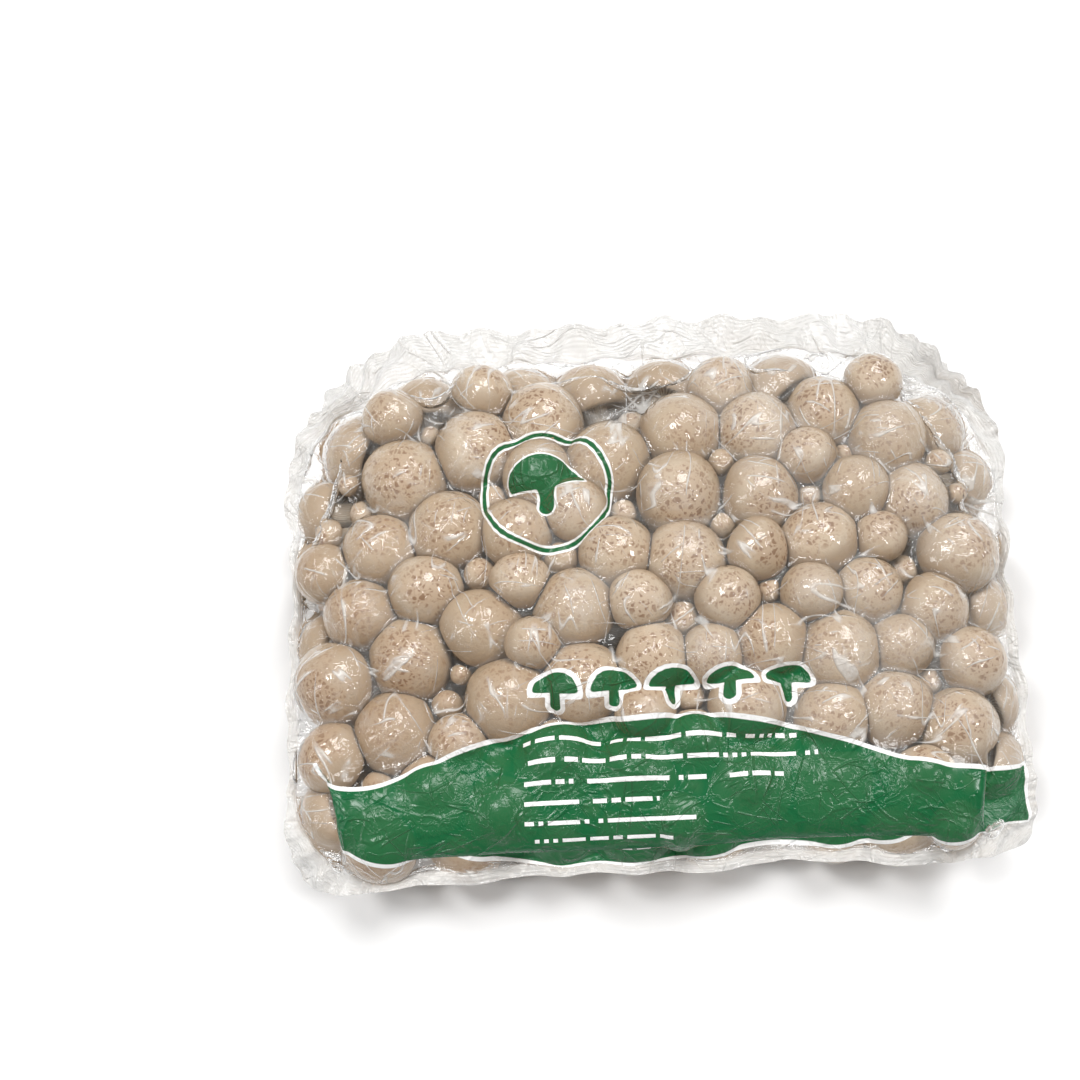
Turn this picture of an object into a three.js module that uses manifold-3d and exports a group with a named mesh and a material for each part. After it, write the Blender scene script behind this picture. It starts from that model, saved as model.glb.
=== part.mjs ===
// A sealed pouch of brown beech mushrooms, one kilogram of them, lying on its back.
// Nine bunches stand side by side, roots down and caps up, between two webs of clear film
// that meet in a seal margin at half height. A few mushrooms have come off their bunch.
// Millimetres, +Z up, +Y towards the far end of the pouch.
import * as THREE from "three";
import { mergeVertices } from "three/addons/utils/BufferGeometryUtils.js";
import Module from "manifold-3d";

const wasm = await Module();
wasm.setup();

// ---- Driving dimensions ----
// The pouch is a flat core plate, rounded in plan, with a skin one flank radius away from it.
const CORE = { halfWidth: 110, halfLength: 76, nearCorner: 14, farCorner: 46 };
const FLANK = 24; // radius of the pouch's rounded edge
const DOME = { height: 12, edge: 0.08 }; // how far the middle stands up; its flat border
const FILM = { inside: 0.9, outside: 1.5 }; // the film's two faces, outside the flank radius
const SEAL = { side: 4, near: 5, far: 16, ear: 4, gap: 0.3 }; // widths of the seal margin
const CAP = { smallest: 9.2, spread: 7, tucked: 6.4, tuckedSpread: 2.8, least: 6 }; // radii
const STEM = { share: 0.36, least: 3.2 }; // stem radius: a share of the cap's
const ROOT = { radius: 18, height: 14, pitchX: 84, pitchY: 57, nearer: 3, jitter: 5 };
const FOOT = { height: 6, spread: 0.22 }; // where stems start on the root
const LOOSE = { reach: 44, stem: 20 }; // a mushroom further than this from a root is loose
const CLEARANCE = 0.4; // between separate pieces

const plateHeight = FLANK + FILM.outside;
const UP = new THREE.Vector3(0, 0, 1);

// ---- Repeatable random numbers (Park and Miller's generator) ----
let state = 20261;
const random = () => (state = (state * 16807) % 2147483647) / 2147483647;

// ---- The pack's form ----
// Distance from the core plate's outline in plan, negative inside, and the way out of it.
function fromOutline(x, y) {
  const r = y > 0 ? CORE.farCorner : CORE.nearCorner;
  const sx = x < 0 ? -1 : 1;
  const sy = y < 0 ? -1 : 1;
  const qx = sx * x - CORE.halfWidth + r;
  const qy = sy * y - CORE.halfLength + r;
  const ox = Math.max(qx, 0);
  const oy = Math.max(qy, 0);
  const corner = Math.sqrt(ox * ox + oy * oy);
  const distance = corner + Math.min(Math.max(qx, qy), 0) - r;
  if (corner > 0) return [distance, (sx * ox) / corner, (sy * oy) / corner];
  return qx > qy ? [distance, sx, 0] : [distance, 0, sy];
}

function domeHeight(x, y) {
  const u = Math.min(Math.abs(x) / CORE.halfWidth, 1);
  const v = Math.min(Math.abs(y) / CORE.halfLength, 1);
  const rise = (1 - u * u) * (1 - v * v) - DOME.edge;
  return (DOME.height * Math.max(rise, 0)) / (1 - DOME.edge);
}

// Moves a point to the given depth under the pack's skin, and returns the way out there.
const LOWEST_TURN = -0.6; // on the flank it turns no further below the level than this
function settle(p, depth) {
  const [distance, nx, ny] = fromOutline(p[0], p[1]);
  const over = Math.max(distance, 0);
  const px = p[0] - nx * over;
  const py = p[1] - ny * over;
  const pz = plateHeight + domeHeight(px, py);
  let dz = distance > 0 ? p[2] - pz : 1;
  let across = over;
  const long = Math.sqrt(across * across + dz * dz);
  across /= long;
  dz /= long;
  if (dz < LOWEST_TURN) {
    dz = LOWEST_TURN;
    across = Math.sqrt(1 - dz * dz);
  }
  const reach = FLANK - depth;
  const out = [nx * across, ny * across, dz];
  return [[px + out[0] * reach, py + out[1] * reach, pz + dz * reach], out];
}

// ---- Where each mushroom is ----
const SKIN = { pitch: 25.2, reach: 2.1, depth: 2.5 }; // caps that touch the film
const TUCKED = { pitch: 38, depth: 8, spread: 3 }; // small caps further in
const PACKING = { rounds: 220, push: 0.3 }; // each round takes out this share of an overlap
const PRESSED = 0.95; // neighbours' distance, as a share of their radii
const STEM_SAMPLES = [0.35, 0.6, 0.85]; // where a stem is felt, from its cap to its foot
const HEX = Math.sqrt(0.75); // row spacing of a triangular grid

const roots = [];
for (const row of [-1, 0, 1])
  for (const column of [-1, 0, 1]) {
    const x = column * ROOT.pitchX + ROOT.jitter * (random() - 0.5);
    const y = row * ROOT.pitchY - ROOT.nearer + ROOT.jitter * (random() - 0.5);
    roots.push([x, y]);
  }

// A shaken triangular grid of caps, wrapped over the pack and round its flank.
function seeds(pitch, tucked) {
  const found = [];
  const rows = Math.ceil(125 / (pitch * HEX));
  const columns = Math.ceil(155 / pitch);
  for (let j = -rows; j <= rows; j++)
    for (let i = -columns; i <= columns; i++) {
      const jitter = [random() - 0.5, random() - 0.5, random(), random()];
      const x = (i + (j % 2 ? 0.5 : 0) + 0.45 * jitter[0]) * pitch;
      const y = (j * HEX + 0.45 * jitter[1]) * pitch;
      const [distance, nx, ny] = fromOutline(x, y);
      const radius = tucked
        ? CAP.tucked + CAP.tuckedSpread * jitter[2]
        : CAP.smallest + CAP.spread * Math.sqrt(jitter[2]);
      const under = tucked
        ? TUCKED.depth + TUCKED.spread * jitter[3]
        : SKIN.depth * jitter[3] * jitter[3];
      const arm = FLANK - radius;
      if (distance > SKIN.reach * arm) continue;
      // A seed past the outline goes round the flank: its distance becomes an angle.
      const turn = Math.max(distance, 0) / arm;
      const cos = 1 - turn * turn * (0.5 - (turn * turn) / 24);
      const sin = Math.sqrt(Math.max(1 - cos * cos, 0));
      const over = Math.max(distance, 0);
      const at = [
        x - nx * over + nx * sin * arm,
        y - ny * over + ny * sin * arm,
        plateHeight + cos * arm,
      ];
      found.push({ at, radius, depth: radius + under, tucked });
    }
  return found;
}

function nearestRoot(p) {
  const away = ([x, y]) => ((p[0] - x) / ROOT.pitchX) ** 2 + ((p[1] - y) / ROOT.pitchY) ** 2;
  let best = 0;
  roots.forEach((root, k) => {
    if (away(root) < away(roots[best])) best = k;
  });
  return best;
}

function footOf(m) {
  const [x, y] = roots[nearestRoot(m.at)];
  return [
    x + FOOT.spread * (m.at[0] - x),
    y + FOOT.spread * (m.at[1] - y),
    FILM.outside + FOOT.height,
  ];
}

// Caps push each other apart and slide along under the skin until they lie side by side.
function layOut() {
  const all = [...seeds(SKIN.pitch, false), ...seeds(TUCKED.pitch, true)];
  for (const m of all) [m.at, m.out] = settle(m.at, m.depth);
  for (let round = 0; round < PACKING.rounds; round++) {
    const feet = all.map(footOf);
    const moves = all.map(() => [0, 0, 0]);
    all.forEach((a, i) => {
      all.forEach((b, j) => {
        if (i === j) return;
        const dx = a.at[0] - b.at[0];
        const dy = a.at[1] - b.at[1];
        const dz = a.at[2] - b.at[2];
        const apart = Math.sqrt(dx * dx + dy * dy + dz * dz);
        const overlap = PRESSED * (a.radius + b.radius) - apart;
        if (overlap > 0) {
          const push = (PACKING.push * overlap) / apart;
          moves[i][0] += dx * push;
          moves[i][1] += dy * push;
          moves[i][2] += dz * push;
        }
        if (!a.tucked) return;
        for (const share of STEM_SAMPLES) {
          const sx = a.at[0] - b.at[0] - share * (feet[j][0] - b.at[0]);
          const sy = a.at[1] - b.at[1] - share * (feet[j][1] - b.at[1]);
          const sz = a.at[2] - b.at[2] - share * (feet[j][2] - b.at[2]);
          const off = Math.sqrt(sx * sx + sy * sy + sz * sz);
          const bite = a.radius + STEM.share * b.radius + CLEARANCE - off;
          if (bite > 0) {
            const push = (0.5 * PACKING.push * bite) / off;
            moves[i][0] += sx * push;
            moves[i][1] += sy * push;
          }
        }
      });
    });
    all.forEach((m, i) => {
      const pushed = m.at.map((value, k) => value + moves[i][k]);
      [m.at, m.out] = settle(pushed, m.depth);
    });
  }
  // Tucked caps without room enough stayed smaller.
  for (const a of all.filter((m) => m.tucked)) {
    let cut = 0;
    for (const b of all) {
      if (a === b) continue;
      const dx = a.at[0] - b.at[0];
      const dy = a.at[1] - b.at[1];
      const dz = a.at[2] - b.at[2];
      const apart = Math.sqrt(dx * dx + dy * dy + dz * dz);
      cut = Math.max(cut, PRESSED * (a.radius + b.radius) - apart);
    }
    a.radius -= cut;
  }
  for (const m of all) {
    m.tilt = [random() - 0.5, random() - 0.5, random() - 0.5];
    m.bunch = nearestRoot(m.at);
  }
  return all.filter((m) => m.radius > CAP.least);
}

// The cap's axis lies between the skin's normal and the stem's own way, give or take.
function shapeOf(m) {
  const at = new THREE.Vector3(...m.at);
  const out = new THREE.Vector3(...m.out);
  const foot = new THREE.Vector3(...footOf(m));
  const flat = Math.hypot(m.at[0] - roots[m.bunch][0], m.at[1] - roots[m.bunch][1]);
  const way = at.clone().sub(foot).normalize();
  const axis = out.clone().multiplyScalar(0.6).addScaledVector(way, 0.4);
  axis.addScaledVector(new THREE.Vector3(...m.tilt), 0.55).normalize();
  const loose = flat > LOOSE.reach;
  if (loose) foot.copy(at).addScaledVector(axis, -LOOSE.stem);
  const neck = at.clone().addScaledVector(axis, -0.1 * m.radius);
  const bend = neck.clone().addScaledVector(axis, -0.45 * neck.distanceTo(foot));
  const stemRadius = Math.max(STEM.share * m.radius, STEM.least);
  const lowest = FILM.outside + stemRadius + 1;
  foot.z = Math.max(foot.z, lowest);
  bend.z = Math.max(bend.z, lowest);
  return { at, axis, foot, neck, bend, stemRadius, loose, radius: m.radius };
}

// ---- Solids ----
function solid(geometry) {
  const bare = geometry.clone();
  bare.deleteAttribute("normal");
  bare.deleteAttribute("uv");
  const merged = mergeVertices(bare, 1e-4);
  const index = merged.index.array;
  const kept = [];
  for (let i = 0; i < index.length; i += 3) {
    const [a, b, c] = [index[i], index[i + 1], index[i + 2]];
    if (a !== b && b !== c && a !== c) kept.push(a, b, c);
  }
  return new wasm.Manifold(
    new wasm.Mesh({
      numProp: 3,
      vertProperties: merged.attributes.position.array,
      triVerts: new Uint32Array(kept),
    }),
  );
}

function meshOf(name, manifold, material) {
  const whole = manifold.decompose().sort((a, b) => b.volume() - a.volume())[0];
  const made = whole.simplify(FINEST).getMesh();
  const geometry = new THREE.BufferGeometry();
  geometry.setAttribute("position", new THREE.BufferAttribute(made.vertProperties, 3));
  geometry.setIndex(new THREE.BufferAttribute(made.triVerts, 1));
  geometry.computeVertexNormals();
  const mesh = new THREE.Mesh(geometry, material);
  mesh.name = name;
  return mesh;
}

// A domed cap with its rim turned in: distance from its axis and height, in cap radii.
const capRings = [
  [0.82, -0.42],
  [1.0, 0],
  [0.74, 0.67],
  [0, 1],
];
const MUSHROOM_SIDES = 7;
const FINEST = 0.12; // smaller steps than this are merged away

// A mushroom is a lathe whose rings are strung along the bent stem and then up the cap.
function mushroomSolid(shape, grow = 0) {
  const { at, axis, radius, stemRadius } = shape;
  const stem = new THREE.QuadraticBezierCurve3(shape.foot, shape.bend, shape.neck);
  const stemRing = (t, thick) => ({
    centre: stem.getPoint(t).addScaledVector(stem.getTangent(t), -1.6 * grow),
    way: stem.getTangent(t),
    radius: thick > 0 ? thick * stemRadius + grow : 0,
  });
  const capRing = ([across, height]) => ({
    centre: at.clone().addScaledVector(axis, height * radius + Math.sign(height) * grow),
    way: axis,
    radius: across * (radius + grow),
  });
  const rings = [
    stemRing(0, 0),
    stemRing(0, 1.15),
    stemRing(0.5, 0.9),
    stemRing(1, 1),
    ...capRings.map(capRing),
  ];
  const profile = rings.map((ring, k) => new THREE.Vector2(ring.radius, k));
  const geometry = new THREE.LatheGeometry(profile, MUSHROOM_SIDES);
  geometry.rotateX(Math.PI / 2);
  const position = geometry.attributes.position;
  const point = new THREE.Vector3();
  for (let i = 0; i < position.count; i++) {
    const ring = rings[i % rings.length];
    point.set(position.getX(i), position.getY(i), 0);
    const lean = new THREE.Quaternion().setFromUnitVectors(UP, ring.way);
    point.applyQuaternion(lean).add(ring.centre);
    position.setXYZ(i, point.x, point.y, point.z);
  }
  return solid(geometry);
}

// The trimmed root where a bunch's stems grow together: a low boss, cut flat below.
function rootSolid([x, y], grow = 0) {
  const r = ROOT.radius + grow;
  const low = FILM.outside + 0.5 - grow;
  const high = low + ROOT.height + 2 * grow;
  const profile = [
    [0, low],
    [0.85 * r, low],
    [r, low + 5],
    [0.7 * r, high],
    [0, high],
  ].map((point) => new THREE.Vector2(...point));
  const geometry = new THREE.LatheGeometry(profile, 10);
  geometry.rotateX(Math.PI / 2);
  geometry.translate(x, y, 0);
  return solid(geometry);
}

// ---- Film ----
const CORNER_STEPS = { near: 5, far: 8 }; // points round each corner of the outline
const EDGE_STEPS = { near: 7, side: 4, far: 5 }; // points along each edge

// Points round the core plate's outline, with the way out at each.
function outlinePoints() {
  const { halfWidth: w, halfLength: l, nearCorner: a, farCorner: b } = CORE;
  const points = [];
  const corner = (x, y, r, quarter, steps) => {
    for (let k = 0; k < steps; k++) {
      const angle = ((quarter + k / steps) * Math.PI) / 2;
      const [nx, ny] = [Math.cos(angle), Math.sin(angle)];
      points.push({ x: x + r * nx, y: y + r * ny, nx, ny });
    }
  };
  const edge = (from, to, nx, ny, steps) => {
    for (let k = 0; k < steps; k++) {
      const t = k / steps;
      const x = from[0] + t * (to[0] - from[0]);
      points.push({ x, y: from[1] + t * (to[1] - from[1]), nx, ny });
    }
  };
  corner(w - b, l - b, b, 0, CORNER_STEPS.far);
  edge([w - b, l], [b - w, l], 0, 1, EDGE_STEPS.far);
  corner(b - w, l - b, b, 1, CORNER_STEPS.far);
  edge([-w, l - b], [-w, a - l], -1, 0, EDGE_STEPS.side);
  corner(a - w, a - l, a, 2, CORNER_STEPS.near);
  edge([a - w, -l], [w - a, -l], 0, -1, EDGE_STEPS.near);
  corner(w - a, a - l, a, 3, CORNER_STEPS.near);
  edge([w, a - l], [w, l - b], 1, 0, EDGE_STEPS.side);
  return points;
}
const outline = outlinePoints();
const RING_SIDES = outline.length;

// How wide the welded margin is at an outline point: wide at the far end, with an ear at
// each near corner.
function sealWidth({ nx, ny }) {
  const end = ny > 0 ? SEAL.far : SEAL.near;
  const corner = ny < 0 ? (2 * nx * ny) ** 2 * SEAL.ear : 0;
  return SEAL.side + (end - SEAL.side) * ny * ny + corner;
}

// One web of film. It starts as a lathe whose radius counts 0 to 1 over the core plate,
// 1 to 2 round the flank and 2 to 3 over the seal margin, and whose height tells the outer
// face from the inner one. Every point of it is then wrapped over the pack.
function filmWeb(name, up, coreRings, flankRings, material) {
  const stations = [];
  for (let k = 0; k <= coreRings; k++) stations.push(k / coreRings);
  for (let k = 1; k <= flankRings; k++) stations.push(1 + k / flankRings);
  stations.push(3);
  const outer = stations.map((s) => new THREE.Vector2(s, 1));
  const inner = stations.map((s) => new THREE.Vector2(s, 0)).reverse();
  const profile = up ? [...inner.reverse(), ...outer.reverse()] : [...outer, ...inner];
  const geometry = new THREE.LatheGeometry(profile, RING_SIDES);
  const position = geometry.attributes.position;
  for (let i = 0; i < position.count; i++) {
    const station = Math.hypot(position.getX(i), position.getZ(i));
    const face = position.getY(i);
    const side = Math.floor(i / profile.length) % RING_SIDES;
    const point = wrapped(outline[side], station, face, up);
    position.setXYZ(i, point.x, point.y, point.z);
  }
  return meshOf(name, solid(geometry), material);
}

// Where a point of a web lies, beside or above one point of the core plate's outline.
function wrapped(edge, station, face, up) {
  const sign = up ? 1 : -1;
  const skin = FLANK + (face > 0.5 ? FILM.outside : FILM.inside);
  if (station < 1 + 1e-6) {
    const x = edge.x * station;
    const y = edge.y * station;
    const rise = up ? domeHeight(x, y) : 0;
    return new THREE.Vector3(x, y, plateHeight + rise + sign * skin);
  }
  const turn = (Math.min(station - 1, 1) * Math.PI) / 2;
  const margin = Math.max(station - 2, 0) * sealWidth(edge);
  const across = skin * Math.sin(turn) + margin;
  // At half height the web turns out flat, half the gap away from the other web.
  const weld = SEAL.gap / 2 + (face > 0.5 ? FILM.outside - FILM.inside : 0);
  const height = Math.max(skin * Math.cos(turn), weld);
  return new THREE.Vector3(
    edge.x + edge.nx * across,
    edge.y + edge.ny * across,
    plateHeight + sign * height,
  );
}

// ---- Materials ----
const capSkin = new THREE.MeshStandardMaterial({
  color: 0xb9a486,
  roughness: 0.6,
  metalness: 0,
  flatShading: true,
});
const clearFilm = new THREE.MeshStandardMaterial({
  color: 0xe9e6e2,
  roughness: 0.15,
  metalness: 0,
  transparent: true,
  opacity: 0.3,
});

// ---- Assembly ----
const mushrooms = layOut().map((m) => ({ ...shapeOf(m), bunch: m.bunch }));
const pack = new THREE.Group();

const held = mushrooms.filter((m) => !m.loose);
const loose = mushrooms.filter((m) => m.loose);

const pieces = roots.map((root, k) => {
  const own = held.filter((m) => m.bunch === k);
  return {
    name: `bunch_${k + 1}`,
    solid: wasm.Manifold.union([rootSolid(root), ...own.map((m) => mushroomSolid(m))]),
    grown: () =>
      wasm.Manifold.union([
        rootSolid(root, CLEARANCE),
        ...own.map((m) => mushroomSolid(m, CLEARANCE)),
      ]),
  };
});
loose.forEach((m, k) => {
  pieces.push({
    name: `loose_mushroom_${k + 1}`,
    solid: mushroomSolid(m),
    grown: () => mushroomSolid(m, CLEARANCE),
  });
});

// Where two neighbours press on each other, the later one is dented by the earlier one.
pieces.forEach((piece, i) => {
  for (const other of pieces.slice(0, i))
    if (piece.solid.intersect(other.solid).volume() > 0)
      piece.solid = piece.solid.subtract(other.grown());
  pack.add(meshOf(piece.name, piece.solid, capSkin));
});

pack.add(filmWeb("front_film", true, 4, 5, clearFilm));
pack.add(filmWeb("back_film", false, 1, 5, clearFilm));

// The origin is under the middle of the pack's box.
const box = new THREE.Box3().setFromObject(pack);
pack.position.set(-(box.min.x + box.max.x) / 2, -(box.min.y + box.max.y) / 2, -box.min.z);

export default pack;
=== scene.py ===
# %% [markdown]
# A sealed pouch of brown beech mushrooms, and how to make one in Blender
#
# The real thing is a kilogram of mushroom bunches, drawn tight in clear film. The CAD
# frame gives every bunch, every loose mushroom and both webs of the film their place.
# Here each of them gets a finer shape and a finish of its own. Loading the frame first
# means that every later cell can be measured against it.

import math
import time

import bmesh
import bpy
import numpy as np
from mathutils import Matrix, Vector, noise
from mathutils.bvhtree import BVHTree


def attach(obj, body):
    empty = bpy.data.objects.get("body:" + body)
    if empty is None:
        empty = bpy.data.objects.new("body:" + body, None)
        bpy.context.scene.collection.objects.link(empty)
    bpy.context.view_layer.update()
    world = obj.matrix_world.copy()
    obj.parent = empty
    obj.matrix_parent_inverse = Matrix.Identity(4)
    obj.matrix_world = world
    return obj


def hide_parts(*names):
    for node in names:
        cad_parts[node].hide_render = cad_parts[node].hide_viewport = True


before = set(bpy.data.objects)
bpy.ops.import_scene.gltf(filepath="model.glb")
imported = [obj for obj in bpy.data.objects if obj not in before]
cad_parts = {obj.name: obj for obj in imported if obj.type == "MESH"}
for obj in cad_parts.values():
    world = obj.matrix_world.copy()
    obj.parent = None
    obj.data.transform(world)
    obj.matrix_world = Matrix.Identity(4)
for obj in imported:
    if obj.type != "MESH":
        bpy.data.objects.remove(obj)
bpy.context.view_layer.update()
print("nodes in the frame:", sorted(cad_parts))

# %% [markdown]
# The camera looks down on the pouch, a little from its right, as one looks at a pack on
# a table. A long lens far away keeps the caps at the edges round. It comes first because
# everything else is judged through it.

# %% Camera
LOOK_AT = Vector((0.0, -0.004, 0.022))
CAMERA_AZIMUTH = math.radians(-3)
CAMERA_ELEVATION = math.radians(72)
CAMERA_DISTANCE = 1.0
LENS, SENSOR = 91.5, 36
LENS_SHIFT = (-0.1034, 0.060)


def place_camera():
    data = bpy.data.cameras.new("camera")
    data.lens = LENS
    data.sensor_width = SENSOR
    data.shift_x, data.shift_y = LENS_SHIFT
    camera = bpy.data.objects.new("camera", data)
    level = math.cos(CAMERA_ELEVATION)
    away = Vector((math.sin(CAMERA_AZIMUTH), -math.cos(CAMERA_AZIMUTH), 0)) * level
    away.z = math.sin(CAMERA_ELEVATION)
    camera.location = LOOK_AT + away * CAMERA_DISTANCE
    camera.rotation_euler = away.to_track_quat("Z", "Y").to_euler()
    bpy.context.scene.collection.objects.link(camera)
    bpy.context.scene.camera = camera
    return camera


camera = place_camera()
print("camera", tuple(round(v, 3) for v in camera.location))

# %% [markdown]
# The pack has a simple form under all its bumps: a plate with rounded corners, and a skin
# that runs one flank radius away from it. Distance from the plate's outline is all that
# the form needs, so the same few lines serve the mushrooms and the film. The numbers are
# the frame's own, in millimetres.

# %% The pack's form
MM = 0.001
CORE_X, CORE_Y = 110.0, 76.0
NEAR_CORNER, FAR_CORNER = 14.0, 46.0
FLANK = 24.0
DOME, DOME_EDGE = 12.0, 0.08
FILM_OUT = 1.5
PLATE_Z = FLANK + FILM_OUT
SEAL_SIDE, SEAL_NEAR, SEAL_FAR, SEAL_EAR = 4.0, 5.0, 16.0, 4.0
SHIFT = np.array([0.0, (SEAL_NEAR - SEAL_FAR) / 2, 0.0])


def from_outline(x, y):
    """Distance from the plate's outline, negative inside, and the way out of it."""
    r = np.where(y > 0, FAR_CORNER, NEAR_CORNER)
    sx = np.where(x < 0, -1.0, 1.0)
    sy = np.where(y < 0, -1.0, 1.0)
    qx = sx * x - CORE_X + r
    qy = sy * y - CORE_Y + r
    ox = np.maximum(qx, 0)
    oy = np.maximum(qy, 0)
    corner = np.sqrt(ox * ox + oy * oy)
    distance = corner + np.minimum(np.maximum(qx, qy), 0) - r
    safe = np.where(corner > 0, corner, 1)
    flat_x = np.where(qx > qy, sx, 0)
    flat_y = np.where(qx > qy, 0, sy)
    nx = np.where(corner > 0, sx * ox / safe, flat_x)
    ny = np.where(corner > 0, sy * oy / safe, flat_y)
    return distance, nx, ny


def dome_height(x, y):
    u = np.minimum(np.abs(x) / CORE_X, 1)
    v = np.minimum(np.abs(y) / CORE_Y, 1)
    rise = (1 - u * u) * (1 - v * v) - DOME_EDGE
    return DOME * np.maximum(rise, 0) / (1 - DOME_EDGE)


print("dome over the middle, mm:", float(dome_height(0.0, 0.0)))

# %% [markdown]
# Mushrooms in a tight pack push each other into place. The caps start on a shaken
# triangular grid, wrapped over the form, and then slide under the skin until they lie
# side by side. This is the frame's own method with the frame's own random numbers, so
# each mushroom lands in the bunch that the frame gave it.

# %% Seeds for the caps
LOWEST_TURN = -0.6
SKIN_PITCH, SKIN_REACH, SKIN_DEPTH = 25.2, 2.1, 2.5
TUCKED_PITCH, TUCKED_DEPTH, TUCKED_SPREAD = 38, 8, 3
CAP_SMALLEST, CAP_SPREAD, CAP_TUCKED, CAP_TUCKED_SPREAD = 9.2, 7, 6.4, 2.8
ROOT_X, ROOT_Y, ROOT_NEARER, ROOT_JITTER = 84, 57, 3, 5
ROOT_RADIUS, ROOT_HEIGHT = 18.0, 14.0
FOOT_HEIGHT, FOOT_SPREAD = 6.0, 0.22
LOOSE_REACH, LOOSE_STEM = 44.0, 20.0
STEM_SHARE, STEM_LEAST = 0.36, 3.2
CLEARANCE = 0.4
HEX = math.sqrt(0.75)
GRID_HALF_X, GRID_HALF_Y, SHAKE = 155, 125, 0.45


def park_miller(state=20261):
    """The frame's repeatable random numbers, from 0 to 1."""
    while True:
        state = state * 16807 % 2147483647
        yield state / 2147483647


draw = park_miller()
roots = []
for row in (-1, 0, 1):
    for column in (-1, 0, 1):
        root_x = column * ROOT_X + ROOT_JITTER * (next(draw) - 0.5)
        root_y = row * ROOT_Y - ROOT_NEARER + ROOT_JITTER * (next(draw) - 0.5)
        roots.append((root_x, root_y))
roots = np.array(roots)


def seeds(pitch, tucked):
    found = []
    rows = math.ceil(GRID_HALF_Y / (pitch * HEX))
    columns = math.ceil(GRID_HALF_X / pitch)
    for j in range(-rows, rows + 1):
        for i in range(-columns, columns + 1):
            a, b, c, d = next(draw) - 0.5, next(draw) - 0.5, next(draw), next(draw)
            x = (i + (0.5 if j % 2 else 0) + SHAKE * a) * pitch
            y = (j * HEX + SHAKE * b) * pitch
            distance, nx, ny = (float(v) for v in from_outline(x, y))
            if tucked:
                radius = CAP_TUCKED + CAP_TUCKED_SPREAD * c
                under = TUCKED_DEPTH + TUCKED_SPREAD * d
            else:
                radius = CAP_SMALLEST + CAP_SPREAD * math.sqrt(c)
                under = SKIN_DEPTH * d * d
            arm = FLANK - radius
            if distance > SKIN_REACH * arm:
                continue
            over = max(distance, 0.0)
            turn = over / arm
            # The frame's own short series for the cosine, so that both round alike.
            cos = 1 - turn * turn * (0.5 - turn * turn / 24)
            sin = math.sqrt(max(1 - cos * cos, 0))
            at = (x - nx * over + nx * sin * arm, y - ny * over + ny * sin * arm)
            found.append((*at, PLATE_Z + cos * arm, radius, radius + under, tucked))
    return found


seeded = np.array(seeds(SKIN_PITCH, False) + seeds(TUCKED_PITCH, True), dtype=float)
print("caps seeded:", len(seeded))

# %% Let the caps find their places
PACKING_ROUNDS, PACKING_PUSH, PRESSED = 220, 0.3, 0.95
STEM_SAMPLES = (0.35, 0.6, 0.85)


def settle(p, depth):
    """Moves points to their depth under the skin; also returns the way out there."""
    distance, nx, ny = from_outline(p[:, 0], p[:, 1])
    over = np.maximum(distance, 0)
    px = p[:, 0] - nx * over
    py = p[:, 1] - ny * over
    pz = PLATE_Z + dome_height(px, py)
    dz = np.where(distance > 0, p[:, 2] - pz, 1)
    length = np.sqrt(over * over + dz * dz)
    across = over / length
    dz = dz / length
    low = dz < LOWEST_TURN
    dz = np.where(low, LOWEST_TURN, dz)
    across = np.where(low, math.sqrt(1 - LOWEST_TURN * LOWEST_TURN), across)
    out = np.stack([nx * across, ny * across, dz], 1)
    reach = (FLANK - depth)[:, None]
    return np.stack([px, py, pz], 1) + out * reach, out


def nearest_root(p):
    gap = (p[:, None, :2] - roots[None]) / (ROOT_X, ROOT_Y)
    return np.argmin((gap * gap).sum(2), 1)


def feet_of(p):
    own = roots[nearest_root(p)]
    flat = own + FOOT_SPREAD * (p[:, :2] - own)
    return np.concatenate([flat, np.full((len(p), 1), FILM_OUT + FOOT_HEIGHT)], 1)


def apart(p):
    gap = p[:, None] - p[None]
    length = np.sqrt((gap * gap).sum(2))
    np.fill_diagonal(length, 1e9)
    return gap, length


def lay_out(seeded):
    radius, depth, tucked = seeded[:, 3].copy(), seeded[:, 4], seeded[:, 5] > 0
    p, out = settle(seeded[:, :3], depth)
    for _ in range(PACKING_ROUNDS):
        gap, length = apart(p)
        overlap = PRESSED * (radius[:, None] + radius[None]) - length
        push = np.where(overlap > 0, PACKING_PUSH * overlap / length, 0)
        move = (gap * push[:, :, None]).sum(1)
        feet = feet_of(p)
        for share in STEM_SAMPLES:
            to = p[:, None] - p[None] - share * (feet - p)[None]
            off = np.sqrt((to * to).sum(2))
            bite = radius[:, None] + STEM_SHARE * radius[None] + CLEARANCE - off
            np.fill_diagonal(bite, 0)
            push = np.where(bite > 0, 0.5 * PACKING_PUSH * bite / off, 0)
            push[~tucked] = 0
            move[:, :2] += (to[:, :, :2] * push[:, :, None]).sum(1)
        p, out = settle(p + move, depth)
    _, length = apart(p)
    for i in np.nonzero(tucked)[0]:
        cut = PRESSED * (radius[i] + radius) - length[i]
        radius[i] -= max(cut.max(), 0)
    tilt = np.array([[next(draw) - 0.5 for _ in range(3)] for _ in p])
    return p, out, radius, tilt


cap_at, cap_out, cap_radius, cap_tilt = lay_out(seeded)
print("caps laid out:", len(cap_at), "mean radius", round(float(cap_radius.mean()), 2))

# %% [markdown]
# A mushroom is a foot in the root, a bent stem and a cap that leans between the way its
# stem grows and the way the film presses it. Keeping these few numbers per mushroom in
# one small record lets every later step, from the flats between caps to the film, ask
# where a mushroom is. The smallest buttons are finer than the frame's solids, so they
# only appear here.

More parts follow.
